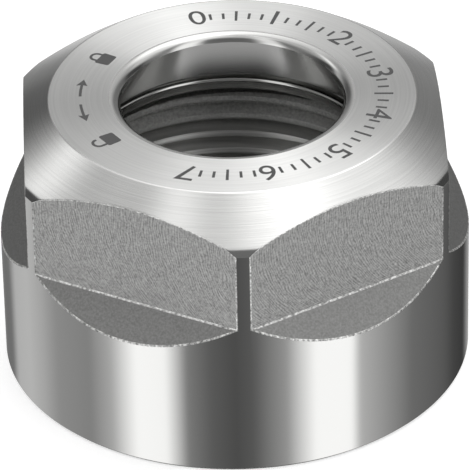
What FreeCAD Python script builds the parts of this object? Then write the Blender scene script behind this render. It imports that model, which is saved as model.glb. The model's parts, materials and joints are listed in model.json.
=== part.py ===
import FreeCAD, Part
import math
import os

# A hexagon clamping nut for a spring collet, turned and milled from one piece of steel.
# The collet sits in the tapered seat inside the nose, and the nut screws onto a chuck from below.
# Origin: centre of the open bottom rim. +Z runs up through the bore, and -Y points at a hexagon corner.
# Lengths are in millimetres and angles in degrees.

# Outside of the turned blank
SKIRT_DIAMETER = 34.0
HEIGHT = 21.0
TOP_FACE_DIAMETER = 26.3
TOP_CONE_SLOPE = 35.0        # of the turned cone round the top face, below the horizontal
CORNER_CHAMFER = 0.4         # 45 degree edge between that cone and the outside diameter
RIM_CHAMFER = 0.25           # 45 degree edge round the foot of the skirt

# Milled hexagon
FLAT_COUNT = 6
ACROSS_FLATS = 30.0
FLAT_FOOT_HEIGHT = 12.05     # where each flat turns into its sloping shoulder
SHOULDER_SLOPE = 45.0        # below the horizontal, falling away from the axis
FIRST_FLAT_ANGLE = 0.0       # direction of one flat's normal, from +X

# Nose: the hole that the tool comes through, and the collet's tapered seat
THROAT_DIAMETER = 16.2
LIP_RADIUS = 0.65
THROAT_LAND = 0.2
SEAT_HALF_ANGLE = 30.0
SEAT_FOOT_DIAMETER = 20.4

# Flange groove and the off-centre ring that pulls the collet out again
GROOVE_WIDTH = 0.55
RING_BORE_DIAMETER = 20.2
RING_OFFSET = 0.3
RING_OFFSET_ANGLE = 120.0    # direction of the ring's centre, from +X
RING_WIDTH = 1.05
RING_EDGE = 0.25             # radius of its upper edge, and size of the 45 degree chamfer on its lower one
RING_LEDGE = 0.35            # narrowest part of the ring's upper face

# Thread below the ring, held here as its minor diameter
THREAD_DIAMETER = 25.0
THREAD_PITCH = 1.5
THREAD_RELIEF_WIDTH = 1.1
THREAD_RELIEF_CLEARANCE = 0.2
MOUTH_CLEARANCE = 0.1        # how far the mouth opens past the thread's major radius

# The basic triangle of a metric thread takes this share of the pitch off each side of the bore
METRIC_MINOR_SHARE = 5.0 / 8.0 * math.sqrt(3.0) / 2.0

# How far the cutters run past the blank
CUTTER_CLEARANCE = 2.0

CENTRE = FreeCAD.Vector(0, 0, 0)
AXIS = FreeCAD.Vector(0, 0, 1)


def rise(run, slope):
    """Height gained over a horizontal run at a slope in degrees."""
    return run * math.tan(math.radians(slope))


# Radii worked out from the sizes above
skirt_radius = SKIRT_DIAMETER / 2
top_radius = TOP_FACE_DIAMETER / 2
throat_radius = THROAT_DIAMETER / 2
seat_foot_radius = SEAT_FOOT_DIAMETER / 2
ring_radius = RING_BORE_DIAMETER / 2
groove_radius = ring_radius + RING_OFFSET + RING_LEDGE
ring_blank_radius = ring_radius - RING_OFFSET - RING_EDGE
thread_minor_radius = THREAD_DIAMETER / 2 - METRIC_MINOR_SHARE * THREAD_PITCH
thread_relief_radius = THREAD_DIAMETER / 2 + THREAD_RELIEF_CLEARANCE
mouth_radius = THREAD_DIAMETER / 2 + MOUTH_CLEARANCE

# Heights on the outside, and then down the bore from the lip to the mouth
cone_foot_radius = skirt_radius - CORNER_CHAMFER
cone_foot_z = HEIGHT - rise(cone_foot_radius - top_radius, TOP_CONE_SLOPE)
skirt_top_z = cone_foot_z - CORNER_CHAMFER
lip_foot_z = HEIGHT - LIP_RADIUS
seat_top_z = lip_foot_z - THROAT_LAND
seat_foot_z = seat_top_z - rise(seat_foot_radius - throat_radius, 90 - SEAT_HALF_ANGLE)
ring_top_z = seat_foot_z - GROOVE_WIDTH
ring_bottom_z = ring_top_z - RING_WIDTH
thread_top_z = ring_bottom_z - THREAD_RELIEF_WIDTH
mouth_top_z = mouth_radius - thread_minor_radius


def at(radius, z):
    """A point of a half section, in the XZ plane."""
    return FreeCAD.Vector(radius, 0, z)


def chain(points):
    """Straight edges from each point to the next."""
    return [Part.LineSegment(start, end).toShape() for start, end in zip(points, points[1:])]


def quarter_arc(centre, radius, first_angle, last_angle):
    """An arc of a half section, through the middle of its two angles."""
    points = []
    for angle in (first_angle, (first_angle + last_angle) / 2, last_angle):
        turn = math.radians(angle)
        points.append(centre + at(radius * math.cos(turn), radius * math.sin(turn)))
    return Part.Arc(*points).toShape()


def revolve(edges):
    """A solid of revolution from the edges of a closed half section."""
    section = Part.Face(Part.Wire(edges))
    return section.revolve(CENTRE, AXIS, 360)


def turned_blank():
    """The round blank with everything that is turned on its own axis."""
    lip_centre = at(throat_radius + LIP_RADIUS, lip_foot_z)
    outside = chain([
        at(mouth_radius, 0),
        at(skirt_radius - RIM_CHAMFER, 0),
        at(skirt_radius, RIM_CHAMFER),
        at(skirt_radius, skirt_top_z),
        at(cone_foot_radius, cone_foot_z),
        at(top_radius, HEIGHT),
        at(throat_radius + LIP_RADIUS, HEIGHT),
    ])
    lip = quarter_arc(lip_centre, LIP_RADIUS, 90, 180)
    inside = chain([
        at(throat_radius, lip_foot_z),
        at(throat_radius, seat_top_z),
        at(seat_foot_radius, seat_foot_z),
        at(groove_radius, seat_foot_z),
        at(groove_radius, ring_top_z),
        at(ring_blank_radius, ring_top_z),
        at(ring_blank_radius, ring_bottom_z),
        at(thread_relief_radius, ring_bottom_z),
        at(thread_relief_radius, thread_top_z),
        at(thread_minor_radius, thread_top_z),
        at(thread_minor_radius, mouth_top_z),
        at(mouth_radius, 0),
    ])
    return revolve(outside + [lip] + inside)


def ring_bore():
    """What is bored out of the ring, off centre, with a round upper edge and a chamfered lower one."""
    flare_radius = ring_radius + RING_EDGE
    upper_edge = quarter_arc(at(flare_radius, ring_top_z - RING_EDGE), RING_EDGE, 180, 90)
    lower_edge = chain([
        at(0, ring_bottom_z),
        at(flare_radius, ring_bottom_z),
        at(ring_radius, ring_bottom_z + RING_EDGE),
        at(ring_radius, ring_top_z - RING_EDGE),
    ])
    core = chain([at(flare_radius, ring_top_z), at(0, ring_top_z), at(0, ring_bottom_z)])
    bore = revolve(lower_edge + [upper_edge] + core)
    turn = math.radians(RING_OFFSET_ANGLE)
    bore.translate(FreeCAD.Vector(RING_OFFSET * math.cos(turn), RING_OFFSET * math.sin(turn), 0))
    return bore


def flat_cut(angle):
    """What the cutter takes away for one flat: a straight side above a sloping shoulder."""
    near = ACROSS_FLATS / 2
    far = skirt_radius + CUTTER_CLEARANCE
    top = HEIGHT + CUTTER_CLEARANCE
    corners = [
        at(near, FLAT_FOOT_HEIGHT),
        at(near, top),
        at(far, top),
        at(far, FLAT_FOOT_HEIGHT - rise(far - near, SHOULDER_SLOPE)),
    ]
    section = Part.Face(Part.Wire(chain(corners + corners[:1])))
    section.translate(FreeCAD.Vector(0, -far, 0))
    cut = section.extrude(FreeCAD.Vector(0, 2 * far, 0))
    cut.rotate(CENTRE, AXIS, angle)
    return cut


def collet_nut():
    """The whole nut: turned, bored off centre for its ring, then milled to a hexagon."""
    flats = [flat_cut(FIRST_FLAT_ANGLE + number * 360 / FLAT_COUNT) for number in range(FLAT_COUNT)]
    return turned_blank().cut([ring_bore()] + flats).removeSplitter()


parts = {"collet_nut": collet_nut()}

os.makedirs("parts", exist_ok=True)
for name, shape in parts.items():
    box = shape.BoundBox
    shape.exportStep("parts/%s.step" % name)
    print("%s: %d solid, valid %s, %.1f x %.1f x %.1f mm, %.0f cubic mm"
          % (name, len(shape.Solids), shape.isValid(), box.XLength, box.YLength, box.ZLength, shape.Volume))
print("seat foot %.2f, ring %.2f to %.2f, thread top %.2f, minor radius %.3f"
      % (seat_foot_z, ring_bottom_z, ring_top_z, thread_top_z, thread_minor_radius))
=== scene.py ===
# %% [markdown]
# # A collet nut
#
# The object is a hexagon clamping nut for a spring collet: one piece of steel, turned, milled to a hexagon,
# threaded inside and marked on its top face. The packed CAD model is the fixed frame with every size and
# place. This script gives the surface: edges that catch the light, cutter marks, the real thread, and the
# studio.

# %% Load the frame and measure it
import json
import math
from functools import partialmethod

import bmesh
import bpy
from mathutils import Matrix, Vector


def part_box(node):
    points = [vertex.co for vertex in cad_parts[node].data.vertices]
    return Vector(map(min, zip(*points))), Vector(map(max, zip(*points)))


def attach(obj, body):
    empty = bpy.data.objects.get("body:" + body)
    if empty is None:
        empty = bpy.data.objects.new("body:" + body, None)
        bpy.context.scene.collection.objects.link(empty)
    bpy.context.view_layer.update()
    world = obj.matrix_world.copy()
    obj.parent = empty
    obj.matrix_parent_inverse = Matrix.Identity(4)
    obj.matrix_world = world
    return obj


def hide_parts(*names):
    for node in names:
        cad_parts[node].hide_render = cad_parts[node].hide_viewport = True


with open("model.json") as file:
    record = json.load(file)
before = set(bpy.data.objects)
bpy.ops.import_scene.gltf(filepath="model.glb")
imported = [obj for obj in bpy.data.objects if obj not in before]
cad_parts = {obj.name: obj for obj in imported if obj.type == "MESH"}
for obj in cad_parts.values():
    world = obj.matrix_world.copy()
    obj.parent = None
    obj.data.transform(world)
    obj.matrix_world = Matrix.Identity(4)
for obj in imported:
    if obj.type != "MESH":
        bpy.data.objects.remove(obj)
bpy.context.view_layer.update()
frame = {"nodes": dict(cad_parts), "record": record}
mounts = {mount["name"]: mount for mount in frame["record"]["mounts"]}
scene = bpy.context.scene
print("frame nodes:", sorted(frame["nodes"]), "mounts:", sorted(mounts))

# %% [markdown]
# ## The camera
#
# The photograph was taken from far away with a long lens, so its lines hardly converge. A camera is placed
# by the angle that it looks down at, its distance and the height of the picture's middle. A small turn
# keeps one corner of the hexagon just right of the middle, and a small roll tips the nut a little.

# %% Place the camera
MM = 0.001
VIEW_DISTANCE = 364.9 * MM
VIEW_ELEVATION = math.radians(33.09)
VIEW_AZIMUTH = math.radians(-91.70)
VIEW_ROLL = math.radians(-1.25)
VIEW_LENS = 384.5
VIEW_SENSOR = 36.0
VIEW_CENTRE_HEIGHT = 9.5 * MM
VIEW_SHIFT_UP = -0.49 * MM
NEAREST_SEEN = 10 * MM


def add_object(name, data):
    made = bpy.data.objects.new(name, data)
    scene.collection.objects.link(made)
    return made


def place_camera():
    """A camera that looks at the nut's axis, rolled about its own line of sight."""
    back = Vector((math.cos(VIEW_AZIMUTH), math.sin(VIEW_AZIMUTH), math.tan(VIEW_ELEVATION))).normalized()
    right = Vector((-math.sin(VIEW_AZIMUTH), math.cos(VIEW_AZIMUTH), 0))
    up = back.cross(right)
    target = Vector((0, 0, VIEW_CENTRE_HEIGHT)) + up * VIEW_SHIFT_UP
    rolled_right = right * math.cos(VIEW_ROLL) + up * math.sin(VIEW_ROLL)
    rolled_up = up * math.cos(VIEW_ROLL) - right * math.sin(VIEW_ROLL)
    data = bpy.data.cameras.new("studio_camera")
    data.sensor_fit = "HORIZONTAL"
    data.sensor_width = VIEW_SENSOR
    data.lens = VIEW_LENS
    data.clip_start = NEAREST_SEEN
    camera = add_object("studio_camera", data)
    turn = camera.matrix_world.to_3x3()
    turn.col[0], turn.col[1], turn.col[2] = rolled_right, rolled_up, back
    camera.matrix_world = turn.to_4x4()
    camera.location = target + back * VIEW_DISTANCE
    return camera


scene.camera = place_camera()
print("camera at", [round(v, 4) for v in scene.camera.location])

# %% [markdown]
# ## The nut's sizes
#
# Sizes that the frame knows are read from it: the skirt and the height from the node's box, the flats and
# the thread from the mounts. The rest are the CAD source's, in millimetres, apart from the lip, the throat,
# the corner chamfer and the ring's edge, which follow the photograph more closely.

# %% Read and name the sizes
low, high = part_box("collet_nut")
SKIRT_RADIUS = round((high.x - low.x) / 2 / MM, 2)
HEIGHT = round(high.z / MM, 3)
HALF_FLATS = round(Vector(mounts["spanner_flat_1"]["pos_m"]).xy.length / MM, 3)
THREAD_MINOR_RADIUS = mounts["thread"]["dims"]["r_mm"]
TOP_RADIUS = 13.15
CONE_SLOPE = math.radians(35)
CHAMFER_WIDTH = 0.32
CHAMFER_HEIGHT = 0.42
RIM_CHAMFER = 0.25
MILLING_SKIM = 0.035
MARK_DEPTH = 0.008
FLAT_FOOT = 12.05
SHOULDER_SLOPE = math.radians(45)
THROAT_RADIUS = 8.0
LIP_WIDTH = 0.8
LIP_DEPTH = 0.53
SEAT_FOOT_RADIUS = 10.2
SEAT_FOOT = 16.51
GROOVE_WIDTH = 0.55
RING_RADIUS = 10.1
RING_OFFSET = 0.3
RING_OFFSET_ANGLE = math.radians(120)
RING_WIDTH = 1.05
RING_EDGE = 0.34
RING_LEDGE = 0.35
THREAD_PITCH = 1.5
THREAD_RADIUS = 12.5
THREAD_RELIEF_WIDTH = 1.1
THREAD_RELIEF_RADIUS = THREAD_RADIUS + 0.2
MOUTH_RADIUS = THREAD_RADIUS + 0.1

face_height = HEIGHT - MARK_DEPTH
lip_edge = THROAT_RADIUS + LIP_WIDTH
seat_top = face_height - LIP_DEPTH
groove_radius = RING_RADIUS + RING_OFFSET + RING_LEDGE
ring_top = SEAT_FOOT - GROOVE_WIDTH
ring_bottom = ring_top - RING_WIDTH
thread_top = ring_bottom - THREAD_RELIEF_WIDTH
print("skirt %.1f, height %.1f, half flats %.1f, thread from %.2f down"
      % (SKIRT_RADIUS, HEIGHT, HALF_FLATS, thread_top))

# %% [markdown]
# ## How the body is built
#
# At each height the nut's radius is the smallest of what the lathe left (skirt, chamfer and cone) and what
# the milling cutter left (a flat above a sloping shoulder). A Boolean could cut the flats too, but its long
# uneven faces are hard to round at their edges. So one sixth of the nut is laid out as a grid whose points
# know their turn round the axis and their span of the outline. Geometry Nodes work the rule out and repeat
# the sixth. Rows and columns crowd at the edges, where the rounding needs them.

# %% List the columns of one sixth
SIXTH = math.radians(60)
COLUMN_STEP = math.radians(0.72)
EDGE_CROWD = [math.radians(a) for a in (-0.32, -0.19, -0.09, 0.0, 0.09, 0.19, 0.32)]
edge_turn = math.acos((HALF_FLATS - MILLING_SKIM) / SKIRT_RADIUS)


def sixth_columns():
    inner = edge_turn + EDGE_CROWD[0]
    count = round(2 * inner / COLUMN_STEP)
    flat = [-inner + 2 * inner * i / count for i in range(1, count)]
    crowd = [edge_turn + step for step in EDGE_CROWD]
    strip = [(crowd[-1] + SIXTH / 2) / 2, SIXTH / 2]
    right = crowd + strip
    return [-t for t in reversed(right)] + flat + right


columns = sixth_columns()
print("columns in a sixth:", len(columns), "flat ends at %.2f degrees" % math.degrees(edge_turn))

# %% [markdown]
# A row is either milled or plain. A milled row gives its span (0 skirt, 1 shoulder, 2 flat, 3 chamfer,
# 4 cone), its share of the way up it, and a nudge in millimetres that holds it close to an edge. A plain
# row, which the cutter never reaches, gives its radius and height. Each row also names the finish of the
# faces that follow it.

# %% List the rows of the outside
NUDGES = [0.0, 0.02, 0.04, 0.07]
HOLD = 0.05  # from an edge to the row beside it
rows = []


def milled_span(span, shares, finish, lower_edge, upper_edge):
    """Rows of one span of the outside, crowded at both ends, with the finish of each end's rounding."""
    for nudge in NUDGES:
        at_edge = lower_edge if nudge < NUDGES[-1] else finish
        rows.append({"span": span, "share": 0.0, "nudge": nudge, "finish": at_edge})
    for share in shares:
        rows.append({"span": span, "share": share, "nudge": 0.0, "finish": finish})
    for nudge in reversed(NUDGES[1:]):
        rows.append({"span": span, "share": 1.0, "nudge": -nudge, "finish": upper_edge})


def plain_row(radius, height, finish, ring=0.0):
    rows.append({"span": -1, "radius": radius, "height": height, "finish": finish, "ring": ring})


def list_outside():
    """From the thread's mouth round the rim, up the milled outside and over the top face."""
    rim = SKIRT_RADIUS - RIM_CHAMFER
    for radius in (MOUTH_RADIUS, MOUTH_RADIUS + HOLD, rim - HOLD, rim):
        plain_row(radius, 0, "skirt")
    milled_span(0, (0.25, 0.5, 0.75), "skirt", "skirt", "burr")
    milled_span(1, (0.33, 0.67), "shoulder", "burr", "corner")
    milled_span(2, (0.25, 0.5, 0.75), "flat", "corner", "burr")
    milled_span(3, (0.33, 0.67), "chamfer", "chamfer", "chamfer")
    milled_span(4, (0.05, 0.1, 0.4, 0.7), "cone", "cone", "cone")
    plain_row(TOP_RADIUS - HOLD, face_height, "top")
    plain_row(TOP_RADIUS - 3 * HOLD, face_height, "top")
    for share in (0.33, 0.67):
        plain_row(TOP_RADIUS + (lip_edge - TOP_RADIUS) * share, face_height, "top")


list_outside()
print("rows on the outside:", len(rows))

# %% [markdown]
# Inside the nose everything is turned, so the section is enough: the lip is one arc that runs straight into
# the collet's seat, and under the seat come the groove and the ring with its round upper edge. An arc needs
# a row every few degrees, because its highlight shows each facet.

# %% List the rows of the bore
LIP_STEPS = 12
RING_EDGE_STEPS = 8


def plain_arc(centre, radius, first, last, steps, finish, ring=0.0):
    """Rows round an arc of the section, in degrees. The last point is left to what follows."""
    for step in range(steps):
        angle = math.radians(first + (last - first) * step / steps)
        plain_row(centre[0] + radius * math.cos(angle), centre[1] + radius * math.sin(angle), finish, ring)


def list_bore():
    """From the lip down the seat, the groove and the ring to the thread's relief."""
    lip_sweep = 2 * math.atan2(LIP_DEPTH, LIP_WIDTH)
    lip_radius = LIP_WIDTH / math.sin(lip_sweep)
    lip_centre = (lip_edge, face_height - lip_radius)
    plain_arc(lip_centre, lip_radius, 90, 90 + math.degrees(lip_sweep), LIP_STEPS, "lip")
    for share in (0, 0.02, 0.25, 0.5, 0.75, 0.98):
        plain_row(THROAT_RADIUS + (SEAT_FOOT_RADIUS - THROAT_RADIUS) * share,
                  seat_top + (SEAT_FOOT - seat_top) * share, "seat")
    groove = [(SEAT_FOOT_RADIUS, SEAT_FOOT), (groove_radius, SEAT_FOOT), (groove_radius, ring_top)]
    for radius, height in groove:
        plain_row(radius, height, "bore")
    flare = RING_RADIUS + RING_EDGE
    plain_arc((flare, ring_top - RING_EDGE), RING_EDGE, 90, 180, RING_EDGE_STEPS, "ring", ring=1.0)
    plain_row(RING_RADIUS, ring_top - RING_EDGE, "bore", ring=1.0)
    plain_row(RING_RADIUS, ring_bottom + RING_EDGE, "bore", ring=1.0)
    plain_row(flare, ring_bottom, "bore", ring=1.0)
    plain_row(THREAD_RELIEF_RADIUS, ring_bottom, "bore")
    plain_row(THREAD_RELIEF_RADIUS, thread_top, "bore")


list_bore()
print("rows in the whole section:", len(rows))

# %% [markdown]
# The grid itself is flat and has no shape yet. Each point carries its numbers as attributes, which is how
# Geometry Nodes read them, and each face carries the number of its finish. Where two flats meet, a narrow
# strip of the turned skirt is left standing, and its faces stay skirt.

# %% Lay the sixth out as a grid that carries its numbers
FINISHES = ["skirt", "shoulder", "flat", "corner", "burr", "chamfer", "cone", "top", "lip", "seat", "ring",
            "bore", "thread"]
MILLED = ("shoulder", "flat", "corner", "burr")


def grid_mesh(name, column_count, row_count):
    """A flat grid of quads, one vertex for each column of each row."""
    points = [(c * MM, r * MM, 0) for r in range(row_count) for c in range(column_count)]
    faces = []
    for r in range(row_count - 1):
        for c in range(column_count - 1):
            first = r * column_count + c
            faces.append((first, first + 1, first + column_count + 1, first + column_count))
    mesh = bpy.data.meshes.new(name)
    mesh.from_pydata(points, [], faces)
    return mesh


def carry(mesh, name, kind, domain, values):
    """Stores one number for each point or face."""
    attribute = mesh.attributes.new(name, kind, domain)
    attribute.data.foreach_set("value", values)


def finish_of(row, left, right):
    """A milled row's finish only reaches across its flat; the strip between two flats is still the skirt."""
    past_edge = abs(left + right) / 2 - edge_turn
    finish = row["finish"]
    if finish in MILLED and past_edge > EDGE_CROWD[1]:
        finish = "skirt" if past_edge > EDGE_CROWD[-2] else "burr"
    return FINISHES.index(finish)


def sixth_mesh():
    mesh = grid_mesh("one_sixth", len(columns), len(rows))
    points = [(row, turn) for row in rows for turn in columns]
    carry(mesh, "turn", "FLOAT", "POINT", [turn for row, turn in points])
    for name in ("span", "share", "nudge", "radius", "height", "ring"):
        carry(mesh, name, "FLOAT", "POINT", [row.get(name, 0) for row, turn in points])
    pairs = [(row, a, b) for row in rows[:-1] for a, b in zip(columns, columns[1:])]
    carry(mesh, "finish", "INT", "FACE", [finish_of(*pair) for pair in pairs])
    return mesh


sixth = sixth_mesh()
print("faces in the sixth:", len(sixth.polygons))

# %% [markdown]
# ## A helper for node trees
#
# Geometry, material and world trees are all nodes and links. The helper adds one node at a time and takes
# either a plain number or another node's output for each of its inputs, so that a rule reads from the
# inside out, as a formula does.

# %% Define the helper
TOUCHING = 0.0005 * MM  # points closer than this are one point
FAMILIES = ("ShaderNode", "GeometryNode", "FunctionNode", "")  # how Blender's names for nodes begin


class Wiring:
    """Adds nodes to one tree and joins them."""

    def __init__(self, tree):
        self.tree = tree

    def node(self, kind, values=None, **settings):
        family = next(word for word in FAMILIES if hasattr(bpy.types, word + kind))
        made = self.tree.nodes.new(family + kind)
        for name, value in settings.items():
            setattr(made, name, value)
        for key, value in (values or {}).items():
            socket = made.inputs[key]
            if isinstance(value, bpy.types.NodeSocket):
                self.tree.links.new(value, socket)
            else:
                socket.default_value = value
        return made

    def make(self, kind, values=None, **settings):
        """The first output of a new node."""
        return self.node(kind, values, **settings).outputs[0]

    def math(self, operation, *values):
        return self.make("Math", dict(enumerate(values)), operation=operation)

    add = partialmethod(math, "ADD")
    minus = partialmethod(math, "SUBTRACT")
    times = partialmethod(math, "MULTIPLY")
    over = partialmethod(math, "DIVIDE")
    least = partialmethod(math, "MINIMUM")
    most = partialmethod(math, "MAXIMUM")

    def blend(self, a, b, share):
        """From a to b as the share goes from 0 to 1."""
        return self.add(self.times(a, self.minus(1.0, share)), self.times(b, share))

    def climb(self, value, start, end, low=0.0, high=1.0, curve="LINEAR"):
        """From low to high as the value goes from start to end."""
        limits = {"Value": value, "From Min": start, "From Max": end, "To Min": low, "To Max": high}
        return self.make("MapRange", limits, interpolation_type=curve)

    def xyz(self, x, y, z):
        return self.make("CombineXYZ", {0: x, 1: y, 2: z})

    def polar(self, radius, turn, z):
        """A place given by its radius, its turn round the axis and its height."""
        x = self.times(radius, self.math("COSINE", turn))
        return self.xyz(x, self.times(radius, self.math("SINE", turn)), z)

    def noise(self, place, detail):
        return self.make("TexNoise", {"Vector": place, "Scale": 1.0, "Detail": detail})

    def split(self, place):
        return self.node("SeparateXYZ", {0: place}).outputs

    def vector(self, operation, values, output="Vector"):
        return self.node("VectorMath", values, operation=operation).outputs[output]

    def carried(self, name, kind="FLOAT"):
        made = self.node("InputNamedAttribute", {"Name": name}, data_type=kind)
        return next(socket for socket in made.outputs if socket.enabled)

    def join(self, pieces):
        joined = self.node("JoinGeometry")
        for piece in pieces:
            self.tree.links.new(piece, joined.inputs[0])
        return joined.outputs[0]

    def realize(self, geometry):
        return self.make("RealizeInstances", {"Geometry": geometry})

    def weld(self, geometry):
        return self.make("MergeByDistance", {"Geometry": geometry, "Distance": TOUCHING})


print("helper ready:", Wiring.__doc__)

# %% [markdown]
# A Geometry Nodes tree gets its sizes as named inputs, so they can be changed in the modifier too. The tree
# is run once on a carrier object, and the plain mesh that comes out is kept.

# %% Make and run trees


def geometry_tree(name, sizes):
    """A Geometry Nodes tree whose named inputs are the sizes, with their values as defaults."""
    tree = bpy.data.node_groups.new(name, "GeometryNodeTree")
    tree.interface.new_socket("Geometry", in_out="INPUT", socket_type="NodeSocketGeometry")
    tree.interface.new_socket("Geometry", in_out="OUTPUT", socket_type="NodeSocketGeometry")
    for label, value in sizes.items():
        kind = "NodeSocketInt" if isinstance(value, int) else "NodeSocketFloat"
        tree.interface.new_socket(label, in_out="INPUT", socket_type=kind).default_value = value
    w = Wiring(tree)
    return w, w.node("NodeGroupInput").outputs


def run_tree(w, name, mesh):
    """Evaluates a tree on a mesh and gives the plain mesh that it makes."""
    carrier = add_object(name, mesh)
    modifier = carrier.modifiers.new(name, "NODES")
    modifier.node_group = w.tree
    evaluated = carrier.evaluated_get(bpy.context.evaluated_depsgraph_get())
    result = bpy.data.meshes.new_from_object(evaluated)
    bpy.data.objects.remove(carrier)
    print(name, "gives", len(result.polygons), "faces")
    return result


print("trees can be made and run")

# %% [markdown]
# ## The finishes, first as empty materials
#
# Geometry Nodes set each face's material, so the materials exist before the trees. Their nodes come later.

# %% Make one material for each finish
materials = {name: bpy.data.materials.new("steel_" + name) for name in FINISHES}


def set_finishes(w, geometry):
    """Gives each face the material of the finish that it carries."""
    finish = w.carried("finish", "INT")
    for number, name in enumerate(FINISHES):
        chosen = w.make("Compare", {2: finish, 3: number}, data_type="INT", operation="EQUAL")
        painted = w.make("SetMaterial",
                              {"Geometry": geometry, "Selection": chosen, "Material": materials[name]})
        geometry = painted
    return geometry


print("materials:", sorted(materials))

# %% [markdown]
# ## The milled nut
#
# The tree works out how high each span of the outline starts at this turn and places the row in its span. A
# flat lies further from the axis the more it is turned away, and meets the cone on a curve: that is the arc
# over each flat, and nobody has to draw it.

# %% Name the nut's sizes and place its rows
BODY_SIZES = {
    "Skirt radius": SKIRT_RADIUS,
    "Height": HEIGHT,
    "Half across flats": HALF_FLATS - MILLING_SKIM,
    "Flat foot": FLAT_FOOT,
    "Shoulder slope": SHOULDER_SLOPE,
    "Top radius": TOP_RADIUS,
    "Cone slope": CONE_SLOPE,
    "Chamfer width": CHAMFER_WIDTH,
    "Chamfer height": CHAMFER_HEIGHT,
    "Rim chamfer": RIM_CHAMFER,
    "Edge rounding": 0.03,
    "Chamfer rounding": 0.12,
    "Corner rounding": 0.06,
    "Milled edge rounding": 0.05,
    "Milled edge unevenness": 3.0,
    "Milled edge grain": 2.4,
    "Ring offset": RING_OFFSET,
    "Ring offset angle": RING_OFFSET_ANGLE,
    "Sides": 6,
}
CROWDED_BELOW = 0.3  # a span shorter than this draws its nudged rows in


def outline(w, size, turn):
    """The slopes of the section, and where its lines meet at this turn."""
    line = {
        "flat": w.over(size["Half across flats"], w.math("COSINE", turn)),
        "cone tan": w.math("TANGENT", size["Cone slope"]),
        "shoulder tan": w.math("TANGENT", size["Shoulder slope"]),
        "chamfer tan": w.over(size["Chamfer height"], size["Chamfer width"]),
        "cone radius": w.minus(size["Skirt radius"], size["Chamfer width"]),
    }
    line["reach"] = w.least(line["flat"], size["Skirt radius"])
    line["sideways"] = w.times(line["reach"], w.math("SINE", turn))
    cone_width = w.minus(line["cone radius"], size["Top radius"])
    line["cone foot"] = w.minus(size["Height"], w.times(cone_width, line["cone tan"]))
    return line


def span_starts(w, size, turn, line):
    """Heights where each span starts at this turn, and the height where the last one ends."""
    overhang = w.minus(w.times(size["Skirt radius"], w.math("COSINE", turn)), size["Half across flats"])
    shoulder_foot = w.minus(size["Flat foot"], w.times(w.most(overhang, 0.0), line["shoulder tan"]))
    on_cone = w.minus(size["Height"], w.times(w.minus(line["reach"], size["Top radius"]), line["cone tan"]))
    into_chamfer = w.minus(line["cone radius"], line["reach"])
    on_chamfer = w.add(line["cone foot"], w.times(into_chamfer, line["chamfer tan"]))
    flat_top = w.least(on_cone, on_chamfer)
    cone_top = w.minus(size["Height"], w.times(size["Edge rounding"], line["cone tan"]))
    chamfer_top = w.most(flat_top, line["cone foot"])
    return [size["Rim chamfer"], shoulder_foot, size["Flat foot"], flat_top, chamfer_top, cone_top]


def row_height(w, starts):
    """The height of this row, from its span, its share of the way up it and its nudge."""
    start = 0.0
    length = 0.0
    for number, (lower, upper) in enumerate(zip(starts, starts[1:])):
        here = w.math("COMPARE", w.carried("span"), float(number), 0.5)
        start = w.add(start, w.times(lower, here))
        length = w.add(length, w.times(w.minus(upper, lower), here))
    crowding = w.least(w.over(length, CROWDED_BELOW), 1.0)
    return w.add(w.add(start, w.times(w.carried("share"), length)), w.times(w.carried("nudge"), crowding))


print("sizes of the milled nut:", len(BODY_SIZES))

# %% [markdown]
# At that height the radius is the smallest that the tools leave. A soft minimum rounds the place where two
# numbers swap, as deburring does to an edge. Where the cutter met turned steel, the width of that rounding
# follows a noise, so that the edge glints unevenly.

# %% Work out the radius of a milled row
UNEVEN_AT_LEAST = 0.3


def tool_radius(w, size, turn, line, z):
    """The radius that the lathe and the cutter leave at this turn and height."""
    cone = w.add(size["Top radius"], w.over(w.minus(size["Height"], z), line["cone tan"]))
    chamfer = w.add(line["cone radius"], w.over(w.minus(line["cone foot"], z), line["chamfer tan"]))
    below_flat = w.over(w.minus(size["Flat foot"], z), line["shoulder tan"])
    shoulder = w.over(w.add(size["Half across flats"], below_flat), w.math("COSINE", turn))
    milled = w.math("SMOOTH_MAX", line["flat"], shoulder, size["Corner rounding"])
    turned = w.math("SMOOTH_MIN", cone, chamfer, size["Chamfer rounding"])
    turned = w.math("SMOOTH_MIN", turned, size["Skirt radius"], size["Edge rounding"])
    grain = size["Milled edge grain"]
    noise = w.noise(w.xyz(w.times(line["sideways"], grain), w.times(z, grain), 0.0), 1.0)
    uneven = w.add(1.0, w.times(w.minus(noise, 0.5), size["Milled edge unevenness"]))
    rounding = w.times(size["Milled edge rounding"], w.most(uneven, UNEVEN_AT_LEAST))
    return w.math("SMOOTH_MIN", milled, turned, rounding)


def put(w, size, place):
    """The grid with its points moved to their places, which are in millimetres."""
    place = w.vector("SCALE", {0: place, "Scale": MM})
    return w.make("SetPosition", {"Geometry": size["Geometry"], "Position": place})


def milled_sixth(w, size):
    """The grid in its place, which also notes how far along its flat each point lies."""
    turn = w.carried("turn")
    line = outline(w, size, turn)
    z = row_height(w, span_starts(w, size, turn, line))
    plain = w.math("LESS_THAN", w.carried("span"), -0.5)
    radius = w.blend(tool_radius(w, size, turn, line, z), w.carried("radius"), plain)
    z = w.blend(z, w.carried("height"), plain)
    shaped = put(w, size, w.polar(radius, turn, z))
    return w.make("StoreNamedAttribute",
                   {"Geometry": shaped, "Name": "along_flat", "Value": line["sideways"]},
                   data_type="FLOAT", domain="POINT")


print("milled edges are rounded by about %.2f mm" % BODY_SIZES["Milled edge rounding"])

# %% [markdown]
# The sixth is repeated round the axis and joined. The ring's rows are then slid off centre, because the
# real ring is bored off centre: one side of it reaches over the collet's groove and pulls the collet out.

# %% Repeat the sixth and make the body


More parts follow.
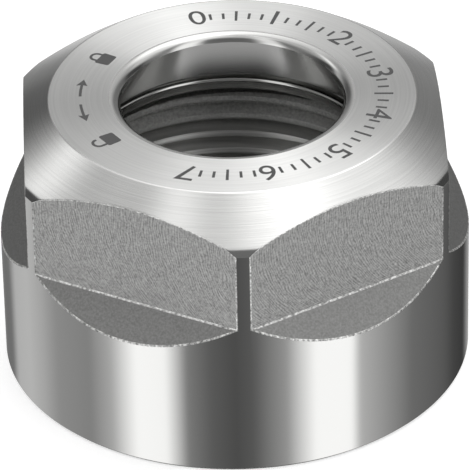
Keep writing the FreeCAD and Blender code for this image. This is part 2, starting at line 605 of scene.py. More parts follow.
def six_joined(w, size, one_part):
    points = w.make("Points", {"Count": size["Sides"]})
    index = w.make("InputIndex")
    spin = w.xyz(0.0, 0.0, w.times(index, w.over(math.tau, size["Sides"])))
    copies = w.make("InstanceOnPoints",
                    {"Points": points, "Instance": one_part, "Rotation": spin})
    return w.weld(w.realize(copies))


def body_tree():
    w, size = geometry_tree("milled_nut", BODY_SIZES)
    joined = six_joined(w, size, milled_sixth(w, size))
    slide = w.times(w.times(size["Ring offset"], w.carried("ring")), MM)
    offset = w.polar(slide, size["Ring offset angle"], 0.0)
    bored = w.make("SetPosition", {"Geometry": joined, "Offset": offset})
    w.node("NodeGroupOutput", {"Geometry": set_finishes(w, bored)})
    return w


body_mesh = run_tree(body_tree(), "milled_nut", sixth)

# %% [markdown]
# ## The thread
#
# The bore's radius depends only on how far a point is along the helix. A ridge swept along a spiral would
# do, but its ends would stick out. Here the grid's rows climb with the helix, stop at the relief and at the
# mouth, and share the body's columns, so that the two meshes close onto each other.

# %% Lay out the thread's grid
FIRST_TURN = -2
PITCH_ROWS = [0.0625, 0.22, 0.375, 0.5, 0.625, 0.78, 0.9375]
turn_columns = [turn + sector * SIXTH for sector in range(6) for turn in columns[:-1]]
turn_columns.append(turn_columns[0] + math.tau)


def thread_mesh():
    last = math.ceil(thread_top / THREAD_PITCH) + 1
    helix_rows = [turn + share for turn in range(FIRST_TURN, last) for share in PITCH_ROWS]
    mesh = grid_mesh("thread_grid", len(turn_columns), len(helix_rows) + 1)
    points = [(row, turn) for row in helix_rows + [last] for turn in turn_columns]
    numbers = {"turn": [turn for row, turn in points], "row": [row for row, turn in points]}
    numbers["cap"] = [float(row == last) for row in numbers["row"]]
    for name, values in numbers.items():
        carry(mesh, name, "FLOAT", "POINT", values)
    carry(mesh, "finish", "INT", "FACE", [FINISHES.index("thread")] * len(mesh.polygons))
    return mesh


thread_grid = thread_mesh()
print("thread grid faces:", len(thread_grid.polygons))

# %% [markdown]
# A metric thread has flat crests, flanks at 60 degrees and narrower flat roots, and one clamped ramp makes
# all three. The tool starts in plain steel under the relief, and there it tears the metal, so the first
# turns are partly filled and ragged, and the raggedness fades out further down.

# %% Build the thread's tree
THREAD_SIZES = {
    "Pitch": THREAD_PITCH,
    "Minor radius": THREAD_MINOR_RADIUS,
    "Major radius": THREAD_RADIUS,
    "Crest share": 0.25,
    "Root share": 0.125,
    "Top": thread_top,
    "Start": 0.22,
    "Relief radius": THREAD_RELIEF_RADIUS,
    "Mouth radius": MOUTH_RADIUS,
    "Torn height": 2.8,
    "Torn filling": 0.35,
    "Torn level": 0.45,
    "Torn depth": 0.18,
    "Torn grain": 2.6,
    "Torn grain upwards": 2.5,
}
TURNS_BELOW = 4.0  # keeps the count of turns above nought


def cut_radius(w, size, turns, z):
    """The bore's radius from how far this place is from the middle of a crest."""
    along = w.math("FRACT", w.add(w.minus(w.over(z, size["Pitch"]), turns), TURNS_BELOW))
    from_crest = w.times(w.math("ABSOLUTE", w.minus(along, 0.5)), 2.0)
    flank = w.climb(from_crest, size["Crest share"], w.minus(1.0, size["Root share"]),
                    size["Minor radius"], size["Major radius"])
    return w.most(flank, w.minus(size["Mouth radius"], z))


def torn_radius(w, size, radius, turn, z):
    torn = w.most(w.minus(1.0, w.over(w.minus(size["Top"], z), size["Torn height"])), 0.0)
    around = w.times(size["Torn grain"], size["Minor radius"])
    upwards = w.times(z, w.times(size["Torn grain"], size["Torn grain upwards"]))
    rough = w.noise(w.polar(around, turn, upwards), 2.0)
    filled = w.times(w.minus(radius, size["Minor radius"]), w.times(torn, size["Torn filling"]))
    ragged = w.times(w.times(w.most(w.minus(rough, size["Torn level"]), 0.0), torn), size["Torn depth"])
    return w.add(w.minus(radius, filled), ragged)


def thread_tree():
    w, size = geometry_tree("cut_thread", THREAD_SIZES)
    turn = w.carried("turn")
    turns = w.add(w.over(turn, math.tau), size["Start"])
    helix = w.times(w.add(w.carried("row"), turns), size["Pitch"])
    z = w.least(w.most(helix, 0.0), size["Top"])
    radius = torn_radius(w, size, cut_radius(w, size, turns, z), turn, z)
    cap = w.carried("cap")
    radius = w.blend(radius, size["Relief radius"], cap)
    z = w.blend(z, size["Top"], cap)
    shaped = put(w, size, w.polar(radius, turn, z))
    w.node("NodeGroupOutput", {"Geometry": set_finishes(w, w.realize(w.weld(shaped)))})
    return w


cut_thread_mesh = run_tree(thread_tree(), "cut_thread", thread_grid)

# %% [markdown]
# ## One closed skin
#
# The two meshes meet at the thread's relief and at its mouth. They are joined and merged there, and the
# faces are turned outwards. Edges sharper than a set angle stay crisp, and the rest shade smoothly.

# %% Join the body and the thread
SHARP_ANGLE = math.radians(24)
SEAM = 0.0015 * MM
BUILDING_NUMBERS = ("turn", "span", "share", "nudge", "row", "cap")


def closed_nut(meshes):
    names = [material.name for material in materials.values()]
    skin = bmesh.new()
    for mesh in meshes:
        first = len(skin.faces)
        skin.from_mesh(mesh)
        skin.faces.ensure_lookup_table()
        for face in skin.faces[first:]:
            face.material_index = names.index(mesh.materials[face.material_index].name)
    bmesh.ops.remove_doubles(skin, verts=skin.verts, dist=SEAM)
    bmesh.ops.dissolve_degenerate(skin, edges=skin.edges, dist=SEAM / 10)
    bmesh.ops.recalc_face_normals(skin, faces=skin.faces)
    open_edges = sum(1 for edge in skin.edges if not edge.is_manifold)
    print("open edges:", open_edges, "volume in cubic mm: %.0f" % (skin.calc_volume() / MM ** 3))
    mesh = bpy.data.meshes.new("collet_nut_steel")
    for material in materials.values():
        mesh.materials.append(material)
    skin.to_mesh(mesh)
    skin.free()
    for name in [attribute.name for attribute in mesh.attributes if attribute.name in BUILDING_NUMBERS]:
        mesh.attributes.remove(mesh.attributes[name])
    mesh.polygons.foreach_set("use_smooth", [True] * len(mesh.polygons))
    mesh.set_sharp_from_angle(angle=SHARP_ANGLE)
    return mesh


nut = add_object("collet_nut_steel", closed_nut([body_mesh, cut_thread_mesh]))
nut.data.calc_loop_triangles()
print("triangles:", len(nut.data.loop_triangles))

# %% [markdown]
# ## Marks on the top face
#
# The face is marked for the hand that turns the nut: two arrows, an open lock beside the way that loosens
# and a closed lock beside the way that clamps, and a scale of plain numbers and ticks. All of it is drawn
# flat first, as if the ring were a straight strip. A second tree then bends the strip round the nut and
# gives it its thickness.

# %% Define plates, strokes and arcs
STROKE = 0.2


def plate(outline_points):
    """One flat plate from its outline, in millimetres."""
    return [Vector((x, y, 0)) for x, y in outline_points]


def band(points, width):
    """A stroke of constant width along points, mitred, as one quad for each step."""
    left, right = [], []
    for i, point in enumerate(points):
        before, after = points[max(i - 1, 0)], points[min(i + 1, len(points) - 1)]
        way = Vector((after[0] - before[0], after[1] - before[1])).normalized()
        across = Vector((-way.y, way.x)) * width / 2
        left.append((point[0] + across.x, point[1] + across.y))
        right.append((point[0] - across.x, point[1] - across.y))
    return [plate([left[i], right[i], right[i + 1], left[i + 1]]) for i in range(len(points) - 1)]


def arc_points(centre, radius, first, last, steps):
    angles = [math.radians(first + (last - first) * i / steps) for i in range(steps + 1)]
    return [(centre[0] + radius * math.cos(a), centre[1] + radius * math.sin(a)) for a in angles]


print("a stroke of the marks is", STROKE, "mm wide")

# %% [markdown]
# A pictogram this small needs only its outline: a box with round corners and a bent bar for a padlock, a
# thin bar and a barbed head for an arrow. Each is placed along the strip by the angle where it stands.

# %% Draw the locks and the arrows
MARK_RADIUS = 10.85
SCALE_START = math.radians(101)
LOCK_HALF = 0.72
LOCK_LOW = -1.0
LOCK_TOP = 0.1
LOCK_CORNER = 0.15
SHACKLE_HALF = 0.42
SHUT_RISE = 0.3
OPEN_RISE = 0.5
OPEN_GAP = 0.05
CORNER_STEPS = 3
SHACKLE_STEPS = 12
ARROW_LENGTH = 2.3
ARROW_HEAD = 0.75
ARROW_HALF = 0.4
ARROW_BARB = 0.1
SHAFT_STEPS = 6
SHUT_LOCK_AT = 149
OPEN_LOCK_AT = -148
CLAMP_ARROW_AT = 172
LOOSEN_ARROW_AT = -170


def lock(at, is_open):
    """A padlock 2 mm high. Its shackle is shut, or raised so that its right leg hangs free."""
    side = LOCK_HALF - LOCK_CORNER
    upper = LOCK_TOP - LOCK_CORNER
    lower = LOCK_LOW + LOCK_CORNER
    body = []
    corners = [((-side, upper), 180), ((side, upper), 90), ((side, lower), 0), ((-side, lower), -90)]
    for centre, first in corners:
        body += arc_points(centre, LOCK_CORNER, first, first - 90, CORNER_STEPS)
    rise = OPEN_RISE if is_open else SHUT_RISE
    right_end = rise - OPEN_GAP if is_open else LOCK_TOP
    bow = arc_points((0, rise), SHACKLE_HALF, 180, 0, SHACKLE_STEPS)
    shackle = [(-SHACKLE_HALF, LOCK_TOP)] + bow + [(SHACKLE_HALF, right_end)]
    shapes = [plate(body)] + band(shackle, STROKE)
    return [[point + Vector((at, 0, 0)) for point in shape] for shape in shapes]


def arrow(at, way):
    """A thin arrow along the ring that points the way given, 1 or -1."""
    tail = at - way * ARROW_LENGTH / 2
    neck = at + way * (ARROW_LENGTH / 2 - ARROW_HEAD)
    tip = at + way * ARROW_LENGTH / 2
    back = neck - way * ARROW_BARB
    shaft = band([(tail + (neck - tail) * i / SHAFT_STEPS, 0) for i in range(SHAFT_STEPS + 1)], STROKE)
    head = [(neck, STROKE / 2), (back, ARROW_HALF), (tip, 0), (back, -ARROW_HALF), (neck, -STROKE / 2)]
    return shaft + [plate(head)]


def place_on_strip(degrees):
    """How far along the strip an angle of the ring lies."""
    return (SCALE_START - math.radians(degrees)) * MARK_RADIUS


def flat_marks():
    shapes = lock(place_on_strip(SHUT_LOCK_AT), False) + lock(place_on_strip(OPEN_LOCK_AT), True)
    shapes += arrow(place_on_strip(CLAMP_ARROW_AT), 1) + arrow(place_on_strip(LOOSEN_ARROW_AT), -1)
    skin = bmesh.new()
    for shape in shapes:
        skin.faces.new([skin.verts.new(point * MM) for point in shape])
    bmesh.ops.remove_doubles(skin, verts=skin.verts, dist=TOUCHING)
    for face in skin.faces:
        if face.normal.z < 0:
            face.normal_flip()
    mesh = bpy.data.meshes.new("arrows_and_locks")
    skin.to_mesh(mesh)
    skin.free()
    return mesh


arrows_and_locks = flat_marks()
print("flat plates:", len(arrows_and_locks.polygons))

# %% [markdown]
# The scale is regular, so Geometry Nodes repeat it: one tick on a row of points, longer half way between
# two numbers, and the numbers from the built-in font. Left to themselves they lie on the same flat strip.

# %% Lay the scale on the strip
NUMBER_COUNT = 8
TICKS_PER_NUMBER = 6
MARK_SIZES = {
    "Ring radius": MARK_RADIUS,
    "Start angle": SCALE_START,
    "Tick step": math.radians(5),
    "Ticks": (NUMBER_COUNT - 1) * TICKS_PER_NUMBER + 1,
    "Ticks per number": TICKS_PER_NUMBER,
    "Tick width": STROKE,
    "Tick height": 0.8,
    "Middle tick longer": 0.7,
    "Number height": 2.75,
    "Thickness": 0.02,
    "Top": HEIGHT,
}


def flat_numbers(w, size, step):
    """Each number from the built-in font, filled and slid to its place on the strip."""
    numbers = []
    for number in range(NUMBER_COUNT):
        drawn = w.make("StringToCurves",
                       {"String": str(number), "Size": w.times(size["Number height"], MM)},
                       align_x="CENTER", align_y="MIDDLE")
        filled = w.make("FillCurve", {0: drawn}, mode="TRIANGLES")
        slide = w.xyz(w.times(step, w.times(size["Ticks per number"], float(number))), 0.0, 0.0)
        placed = w.make("Transform",
                        {"Geometry": w.realize(filled), "Translation": slide})
        numbers.append(placed)
    return numbers


def flat_ticks(w, size, step):
    """Ticks in a row, left out where a number stands, and longer half way between two numbers."""
    index = w.make("InputIndex")
    places = w.xyz(w.times(index, step), 0.0, 0.0)
    row = w.make("Points", {"Count": size["Ticks"], "Position": places})
    share = w.math("MODULO", index, size["Ticks per number"])
    middle = w.math("COMPARE", share, w.over(size["Ticks per number"], 2.0), 0.5)
    tick = w.make("MeshGrid", {
        "Size X": w.times(size["Tick width"], MM), "Vertices X": 2,
        "Size Y": w.times(size["Tick height"], MM), "Vertices Y": 3,
    })
    ticks = w.make("InstanceOnPoints", {
        "Points": row,
        "Selection": w.math("GREATER_THAN", share, 0.5),
        "Instance": tick,
        "Scale": w.xyz(1.0, w.add(1.0, w.times(middle, size["Middle tick longer"])), 1.0),
    })
    return w.realize(ticks)


print("ticks and numbers on the scale:", MARK_SIZES["Ticks"])

# %% [markdown]
# Bending is one move of every point: sideways becomes an angle and up becomes a radius. The bent plates are
# then raised, and a copy turned over closes them from below, so that each mark is a thin solid that stands
# a few thousandths of a millimetre out of the face.

# %% Bend the strip round the ring and thicken it


def bent(w, size, flat):
    parts = w.split(w.make("InputPosition"))
    angle = w.minus(size["Start angle"], w.over(w.over(parts["X"], MM), size["Ring radius"]))
    radius = w.add(w.times(size["Ring radius"], MM), parts["Y"])
    height = w.times(w.minus(size["Top"], size["Thickness"]), MM)
    return w.make("SetPosition", {"Geometry": flat, "Position": w.polar(radius, angle, height)})


def thickened(w, size, plates):
    raised = w.make("ExtrudeMesh", {
        "Mesh": plates,
        "Offset": (0, 0, 1),
        "Offset Scale": w.times(size["Thickness"], MM),
        "Individual": False,
    }, mode="FACES")
    under = w.make("FlipFaces", {0: plates})
    return w.realize(w.weld(w.join([raised, under])))


def marks_tree(material):
    w, size = geometry_tree("ring_marks", MARK_SIZES)
    step = w.times(w.times(size["Tick step"], size["Ring radius"]), MM)
    flat = w.join([size["Geometry"], flat_ticks(w, size, step)] + flat_numbers(w, size, step))
    solid = thickened(w, size, bent(w, size, flat))
    inked = w.make("SetMaterial", {"Geometry": solid, "Material": material})
    w.node("NodeGroupOutput", {"Geometry": inked})
    return w


laser_mark = bpy.data.materials.new("laser_mark")
marks_mesh = run_tree(marks_tree(laser_mark), "ring_marks", arrows_and_locks)
marks = add_object("face_marks", marks_mesh)

# %% [markdown]
# A laser leaves a dull dark skin on the steel, so the marks are not metal but a plain dark grey.

# %% Paint the marks
MARK_TONE = 0.085
MARK_ROUGHNESS = 0.6
MARK_SHEEN = 0.3


def principled(material, inputs):
    """Gives a material one Principled shader with these inputs."""
    material.use_nodes = True
    shader = material.node_tree.nodes["Principled BSDF"]
    for name, value in inputs.items():
        shader.inputs[name].default_value = value
    return shader


principled(laser_mark, {
    "Base Color": (MARK_TONE, MARK_TONE, MARK_TONE, 1),
    "Roughness": MARK_ROUGHNESS,
    "Specular IOR Level": MARK_SHEEN,
})
print("marks painted in", MARK_TONE)

# %% [markdown]
# ## Steel
#
# Every finish is the same bare steel, though some finishes take a lighter or darker copy of its colour,
# which is painted light or painted shade. What differs besides is how rough the tool left it and which way
# its marks run. A lathe leaves rings, which scatter light mostly across themselves. That is anisotropy: the
# shader's tangent runs across the rings, down the slope of the section, and the highlight stretches along
# it.

# %% Name what each finish looks like
MICROMETRE = 1e-6
STEEL = (0.62, 0.62, 0.61, 1.0)
# A darker copy of the steel for the milled flats: painted shade.
SHADED_MILLED_STEEL = (0.37, 0.37, 0.365, 1.0)
# A still darker copy of the steel for the milled shoulders: painted shade.
SHADED_SHOULDER_STEEL = (0.28, 0.28, 0.275, 1.0)
# A darker copy of the steel that dims the lip's highlight: painted shade.
SHADED_LIP_STEEL = (0.52, 0.52, 0.51, 1.0)
# A lighter copy of the steel, brighter than bare steel, for the top face and the lower thread: painted
# light.
LIGHTENED_STEEL = (0.70, 0.70, 0.69, 1.0)
# A dark copy of the steel for the groove and relief deep in the bore: painted shade.
SHADED_BORE_STEEL = (0.26, 0.26, 0.25, 1.0)
# A darker copy of the steel for the ring and the thread inside the nut: painted shade.
SHADED_INSIDE_STEEL = (0.44, 0.44, 0.43, 1.0)
LOOKS = {
    # finish: colour, roughness, share across the rings, tool marks, their depth in micrometres,
    # and how far the marks paint highlight and shade into the steel's colour
    "skirt": (STEEL, 0.10, 0.0, "rings", 0.8, 0.0),
    "shoulder": (SHADED_SHOULDER_STEEL, 0.45, 0.0, "speckle", 8, 0.32),
    "flat": (SHADED_MILLED_STEEL, 0.46, 0.0, "arcs", 22, 0.9),
    "corner": (STEEL, 0.45, 0.0, "beads", 20, 1.0),
    "burr": (STEEL, 0.5, 0.0, "beads", 25, 1.2),
    "chamfer": (STEEL, 0.16, 0.0, "rings", 1.3, 0.0),
    "cone": (STEEL, 0.22, 0.8, "rings", 4.5, 0.1),
    "top": (LIGHTENED_STEEL, 0.38, 0.97, "rings", 3.8, 0.1),
    "lip": (SHADED_LIP_STEEL, 0.16, 0.0, "rings", 0.4, 0.0),
    "seat": (STEEL, 0.13, 0.0, "rings", 0.4, 0.0),
    "ring": (SHADED_INSIDE_STEEL, 0.11, 0.0, "rings", 0.4, 0.0),
    "bore": (SHADED_BORE_STEEL, 0.25, 0.0, "rings", 2.5, 0.2),
    "thread": (SHADED_INSIDE_STEEL, 0.29, 0.0, "torn", 9, 0.35),
}
print("finishes with a look:", len(LOOKS))

# %% [markdown]
# ## Tool marks
#
# A lathe's rings depend only on how far a point is along the section: the radius less the height works for
# every turned face. A milling cutter sweeps each flat in arcs about a point high beside it, in regular
# steps, uneven strokes and fine speckle. An edge that it pushed up is beaded, and so are the thread's torn
# first turns.

# %% Define the tool marks
RINGS_PER_MM = 7.0
RING_WANDER = 0.12
SPECKLES_PER_MM = 6.5
BEADS_PER_MM = 5.0
MILL_RADIUS = 9.5
MILL_CENTRE_HEIGHT = 19.0
STROKES_PER_MM = (8.5, 1.5)
ARC_PITCH = 0.19
ARC_WANDER = 4.0
ARC_WANDER_PER_MM = (0.8, 0.5)
STEP_SHARE = 0.13
STROKE_SHARE = 0.34
TORN_MARKS_FROM = thread_top - 3.2
TORN_MARKS_FULL = thread_top - 1.2


def in_millimetres(w, grains=1.0):
    """The point's place in the nut, in millimetres or in grains of some size."""
    place = w.node("TexCoord").outputs["Object"]
    return w.vector("SCALE", {0: place, "Scale": grains / MM})


def turned_rings(w):
    parts = w.split(in_millimetres(w))
    radius = w.math("SQRT", w.add(w.times(parts["X"], parts["X"]), w.times(parts["Y"], parts["Y"])))
    along = w.times(w.minus(radius, parts["Z"]), RINGS_PER_MM)
    return w.noise(w.xyz(along, w.times(parts["X"], RING_WANDER), w.times(parts["Y"], RING_WANDER)), 2.0)


def speckle(w):
    return w.noise(in_millimetres(w, SPECKLES_PER_MM), 2.0)


def beads(w):
    return w.noise(in_millimetres(w, BEADS_PER_MM), 1.0)


def milled_arcs(w):
    height = w.split(in_millimetres(w))["Z"]
    sideways = w.node("Attribute", attribute_name="along_flat").outputs["Fac"]
    drop = w.minus(height, MILL_CENTRE_HEIGHT)
    bow = w.math("SQRT", w.most(w.minus(MILL_RADIUS ** 2, w.times(drop, drop)), 1.0))
    across = w.add(sideways, bow)

    def uneven(per_mm, layer):
        return w.noise(w.xyz(w.times(across, per_mm[0]), w.times(height, per_mm[1]), layer), 1.0)

    turns = w.add(w.over(across, ARC_PITCH), w.times(uneven(ARC_WANDER_PER_MM, 5.0), ARC_WANDER))
    steps = w.add(w.times(w.math("SINE", w.times(turns, math.tau)), 0.5), 0.5)
    swept = w.add(w.times(steps, STEP_SHARE), w.times(uneven(STROKES_PER_MM, 0.0), STROKE_SHARE))
    return w.add(swept, w.times(speckle(w), 1 - STEP_SHARE - STROKE_SHARE))


def torn(w):
    """Rings below, and torn metal where the thread runs out at its top."""
    near_top = w.climb(w.split(in_millimetres(w))["Z"], TORN_MARKS_FROM, TORN_MARKS_FULL)
    return w.blend(turned_rings(w), beads(w), near_top)


TOOL_MARKS = {"rings": turned_rings, "arcs": milled_arcs, "speckle": speckle, "beads": beads, "torn": torn}
print("kinds of tool mark:", sorted(TOOL_MARKS))

# %% [markdown]
# The same marks also paint the colour: lighter on their ridges, a painted highlight that glints along the
# beaded edges, and darker in their hollows, a painted shade. The thread's colour is painted lighter near its
# mouth, as painted light, and stays darker further in, a painted shade; its steel is rougher near the mouth
# and torn rough at its start.

# %% Vary the colour, the thread and the tangent
HOLLOW = 0.3
RIDGE = 0.7
DARKEST = 0.02
MOUTH_LIGHT_HEIGHTS = (8.0, 6.0)  # heights where the painted light near the mouth starts and where it is full
TORN_THREAD = (10.8, 11.8)
PLAIN_ROUGHNESS = 0.6


def shade(w, colour, marks, contrast):
    """The colour with painted shade in the marks' hollows and a painted highlight on their ridges."""
    dark, light = ([min(max(c * (1 + way * contrast / 2), DARKEST), 1.0) for c in colour[:3]] + [1.0]
                   for way in (-1, 1))
    ridges = w.climb(marks, HOLLOW, RIDGE)
    return w.node("Mix", {0: ridges, 6: dark, 7: light}, data_type="RGBA").outputs[2]


def vary_thread(w, shader, colour, roughness):
    """A colour painted lighter and more roughness in the lower turns of the thread, and more roughness in
    its torn first turns.
    """
    height = w.split(in_millimetres(w))["Z"]
    # The lower turns are painted lighter, painted light from the mouth; further in the thread keeps its
    # darker colour, a painted shade.
    mouth_light = w.climb(height, *MOUTH_LIGHT_HEIGHTS)
    mixed = w.node("Mix", {0: mouth_light, 6: colour, 7: LIGHTENED_STEEL}, data_type="RGBA").outputs[2]
    w.tree.links.new(mixed, shader.inputs["Base Color"])
    plain = w.add(mouth_light, w.climb(height, *TORN_THREAD))
    rough = w.add(w.times(plain, PLAIN_ROUGHNESS - roughness), roughness)
    w.tree.links.new(rough, shader.inputs["Roughness"])


def across_rings(w):
    """A tangent that lies in the section's plane, so it runs across everything that a lathe turns."""
    place = w.node("TexCoord").outputs["Object"]
    outward = w.vector("NORMALIZE", {0: w.vector("MULTIPLY", {0: place, 1: (1, 1, 0)})})
    return w.vector("SUBTRACT", {0: outward, 1: (0, 0, 1)})


# The thread is painted lighter below this height.
print("clean thread below", MOUTH_LIGHT_HEIGHTS[1], "mm, torn above", TORN_THREAD[1], "mm")

# %% [markdown]
# One function then wires every finish alike: the colour and roughness from its row, the tangent where rings
# scatter light, and the marks as a bump of a few micrometres.

# %% Paint the finishes


def paint(name):
    colour, roughness, anisotropy, kind, depth, contrast = LOOKS[name]
    inputs = {"Base Color": colour, "Metallic": 1.0, "Roughness": roughness, "Anisotropic": anisotropy}
    shader = principled(materials[name], inputs)
    w = Wiring(materials[name].node_tree)
    if anisotropy:
        w.tree.links.new(across_rings(w), shader.inputs["Tangent"])
    marks_here = TOOL_MARKS[kind](w)
    bump = w.make("Bump", {"Height": marks_here, "Distance": depth * MICROMETRE})
    w.tree.links.new(bump, shader.inputs["Normal"])
    if contrast:
        shaded = shade(w, colour, marks_here, contrast)
        w.tree.links.new(shaded, shader.inputs["Base Color"])
        if name == "thread":
            vary_thread(w, shader, shaded, roughness)


for finish_name in FINISHES:
    paint(finish_name)
print("painted", len(FINISHES))

# %% [markdown]
# ## The studio
#
# Polished steel shows what stands round it, so the studio is built as rings of soft panels, one above
# another. Each ring is a colour ramp wrapped round the compass. White card stands to the left and right of
# the camera, a dark flag hangs above it, and a large soft box hangs overhead.

# %% Name the rings of panels
CARDS_BELOW = [(-170, 34), (-157, 60), (-143, 150), (-128, 146), (-117, 30), (-105, 16), (-93, 11),
               (-84, 15), (-53, 150), (-34, 150), (-29, 66), (-12, 42), (4, 22), (107, 18), (128, 60),
               (143, 68), (156, 58), (168, 40)]
CARDS_ABOVE = [(20, 140), (35, 190), (60, 240), (78, 240), (100, 170), (112, 120), (145, 90), (160, 62),
               (172, 85)]
RINGS = [
    # name, upper edge and its softness in degrees, then (azimuth, tone) in degrees and percent
    ("floor under the nut", -58, 8, [(0, 95)]),
    ("table edge", -27, 6, CARDS_BELOW + [
        (-68, 45), (32, 14), (44, 8), (60, 5), (72, 34), (88, 44), (97, 24), (119, 21),
    ]),
    ("low panels", -10, 8, CARDS_BELOW + [
        (-68, 52), (32, 40), (44, 65), (62, 60), (72, 27), (80, 60), (95, 95), (102, 28), (119, 40),
    ]),
    ("middle panels", 27, 8, [
        (-165, 30), (-150, 40), (-141, 170), (-128, 150), (-115, 24), (-68, 24), (-54, 160), (-37, 165),
        (-28, 40), (0, 25), (8, 7), (28, 7), (36, 22), (60, 26), (70, 28), (80, 50), (100, 40), (112, 14),
        (124, 12), (131, 24), (145, 78), (154, 8), (170, 8),
    ]),
    ("high panels", 46, 8, [
        (-165, 30), (-150, 25), (-141, 135), (-128, 135), (-115, 19), (-64, 19), (-54, 175), (-37, 170),
        (-26, 22), (10, 100), (24, 98), (36, 60), (60, 75), (90, 80), (120, 45), (134, 60), (146, 185),
        (158, 75), (175, 50),
    ]),
    ("flag above the camera", 58, 8, CARDS_ABOVE + [
        (-165, 50), (-153, 20), (-147, 130), (-128, 145), (-115, 25), (-90, 20), (-64, 25), (-54, 145),
        (-37, 140), (-26, 45), (-8, 130),
    ]),
    ("upper panels", 63, 8, CARDS_ABOVE + [
        (-165, 58), (-153, 60), (-146, 140), (-128, 135), (-105, 60), (-90, 50), (-75, 60), (-54, 140),
        (-37, 130), (-26, 90), (-8, 140),
    ]),
    ("overhead box", 90, 1, [
        (-165, 135), (-150, 150), (-125, 82), (-105, 98), (-85, 115), (-62, 150), (-44, 160), (-28, 220),
        (10, 240), (50, 250), (75, 250), (105, 180), (150, 120), (175, 80),
    ]),
]
RAMP_TOP = 250
print("studio rings:", len(RINGS), "panels:", sum(len(ring[3]) for ring in RINGS))

# %% [markdown]
# The world shader looks up each ring by the compass direction of a ray and blends from ring to ring as the
# ray climbs. The camera itself sees plain white, and only the steel sees the panels.

# %% Draw the studio


def ring_ramp(w, compass, panels):
    stops = sorted(panels)
    ramp = w.node("ValToRGB", {"Fac": compass})
    elements = ramp.color_ramp.elements
    (first, first_tone), (last, last_tone) = stops[0], stops[-1]
    seam_tone = last_tone + (first_tone - last_tone) * (180 - last) / (first + 360 - last)
    closed = [(-180, seam_tone)] + stops + [(180, seam_tone)]
    elements[0].position, elements[1].position = 0.0, 1.0
    for azimuth, tone in stops:
        elements.new((azimuth + 180) / 360)
    for element, (azimuth, tone) in zip(elements, closed):
        share = tone / RAMP_TOP
        element.color = (share, share, share, 1)
    return w.times(ramp.outputs["Color"], RAMP_TOP / 100)


def draw_studio():
    world = bpy.data.worlds.new("studio")
    scene.world = world
    world.use_nodes = True
    world.node_tree.nodes.clear()
    w = Wiring(world.node_tree)
    parts = w.split(w.node("TexCoord").outputs["Generated"])
    compass = w.add(w.over(w.math("ARCTAN2", parts["Y"], parts["X"]), math.tau), 0.5)
    elevation = w.math("ARCSINE", parts["Z"])
    tone = ring_ramp(w, compass, RINGS[0][3])
    for (_, edge, soft, _), (_, _, _, panels) in zip(RINGS, RINGS[1:]):
        above = w.climb(elevation, math.radians(edge - soft), math.radians(edge + soft), curve="SMOOTHSTEP")
        tone = w.blend(tone, ring_ramp(w, compass, panels), above)
    path = w.node("LightPath").outputs
    tone = w.blend(tone, 1.0, w.most(path["Is Camera Ray"], path["Is Transmission Ray"]))
    background = w.make("Background", {"Color": (1, 1, 1, 1), "Strength": tone})
    w.node("OutputWorld", {"Surface": background})


draw_studio()
print("studio drawn as", scene.world.name)

# %% [markdown]
# The paper under the nut glows just enough to look as white as the background and still takes the shadow.
# Steel sees past the paper to the panels below. Under the bore it sees some painted light too, more near the
# thread's mouth, and a small soft painted shadow on the paper, which darkens the seat over its middle.

# %% Lay the floor
FLOOR_HALF = 0.6
PAPER_TONE = 0.6
PAPER_GLOW = 0.62
BORE_LIGHT = 0.44
BORE_EDGE_LIGHT = 0.74
BORE_EDGE_STARTS = 10.5
BORE_LIGHT_RADIUS = 12.5
# Where a soft painted shadow lies on the paper under the back of the bore; only the steel sees it.
PAINTED_SHADOW_RIGHT = 0.25
PAINTED_SHADOW_BEHIND = 10.6
PAINTED_SHADOW_RADIUS = 0.7
PAINTED_SHADOW_SOFT_RADIUS = 2.6


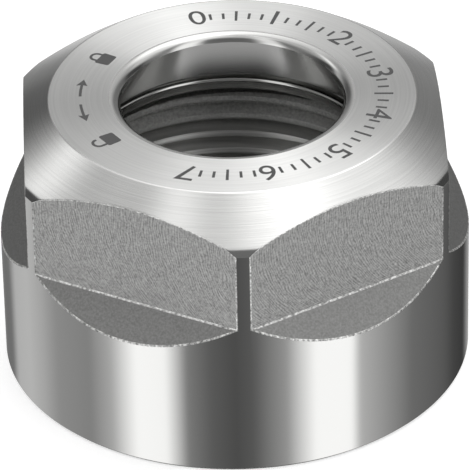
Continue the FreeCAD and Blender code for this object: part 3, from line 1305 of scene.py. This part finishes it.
def floor_light(w, path):
    """Away from the painted shadow, and how far a glossy ray passes the floor, both from 0 to 1."""
    place = w.node("TexCoord").outputs["Object"]
    from_axis = w.vector("LENGTH", {0: place}, "Value")
    outside = w.math("GREATER_THAN", from_axis, SKIRT_RADIUS * MM)
    strength = w.climb(from_axis, BORE_EDGE_STARTS * MM, BORE_LIGHT_RADIUS * MM, BORE_LIGHT, BORE_EDGE_LIGHT)
    under_bore = w.times(w.math("LESS_THAN", from_axis, BORE_LIGHT_RADIUS * MM), strength)
    shadow_centre = w.xyz(PAINTED_SHADOW_RIGHT * MM, PAINTED_SHADOW_BEHIND * MM, 0.0)
    from_shadow = w.vector("DISTANCE", {0: place, 1: shadow_centre}, "Value")
    off_shadow = w.climb(from_shadow, PAINTED_SHADOW_RADIUS * MM, PAINTED_SHADOW_SOFT_RADIUS * MM, curve="SMOOTHSTEP")
    return off_shadow, w.times(path["Is Glossy Ray"], w.most(outside, w.times(under_bore, off_shadow)))


def floor_material():
    material = bpy.data.materials.new("white_floor")
    material.use_nodes = True
    material.node_tree.nodes.clear()
    w = Wiring(material.node_tree)
    path = w.node("LightPath").outputs
    off_shadow, passed = floor_light(w, path)
    # Glossy rays see the paper darker at the painted shadow.
    tone = w.times(w.most(off_shadow, w.minus(1.0, path["Is Glossy Ray"])), PAPER_TONE)
    paper = w.make("BsdfDiffuse", {"Color": tone})
    glow = w.make("Emission", {"Color": (1, 1, 1, 1), "Strength": PAPER_GLOW})
    clear = w.make("BsdfTransparent")
    lit = w.make("AddShader", {0: paper, 1: glow})
    plain = w.make("MixShader", {0: path["Is Camera Ray"], 1: paper, 2: lit})
    mixed = w.make("MixShader", {0: passed, 1: plain, 2: clear})
    w.node("OutputMaterial", {"Surface": mixed})
    return material


def lay_floor():
    mesh = bpy.data.meshes.new("studio_floor")
    side = FLOOR_HALF
    corners = [(-side, -side, 0), (side, -side, 0), (side, side, 0), (-side, side, 0)]
    mesh.from_pydata(corners, [], [(0, 1, 2, 3)])
    floor = add_object("studio_floor", mesh)
    mesh.materials.append(floor_material())


lay_floor()
scene.view_settings.view_transform = "Standard"
print("floor laid, side in metres:", 2 * FLOOR_HALF)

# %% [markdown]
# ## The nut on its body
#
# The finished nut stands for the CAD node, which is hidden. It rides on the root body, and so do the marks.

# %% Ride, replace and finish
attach(nut, "root")
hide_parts("collet_nut")
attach(marks, "root")
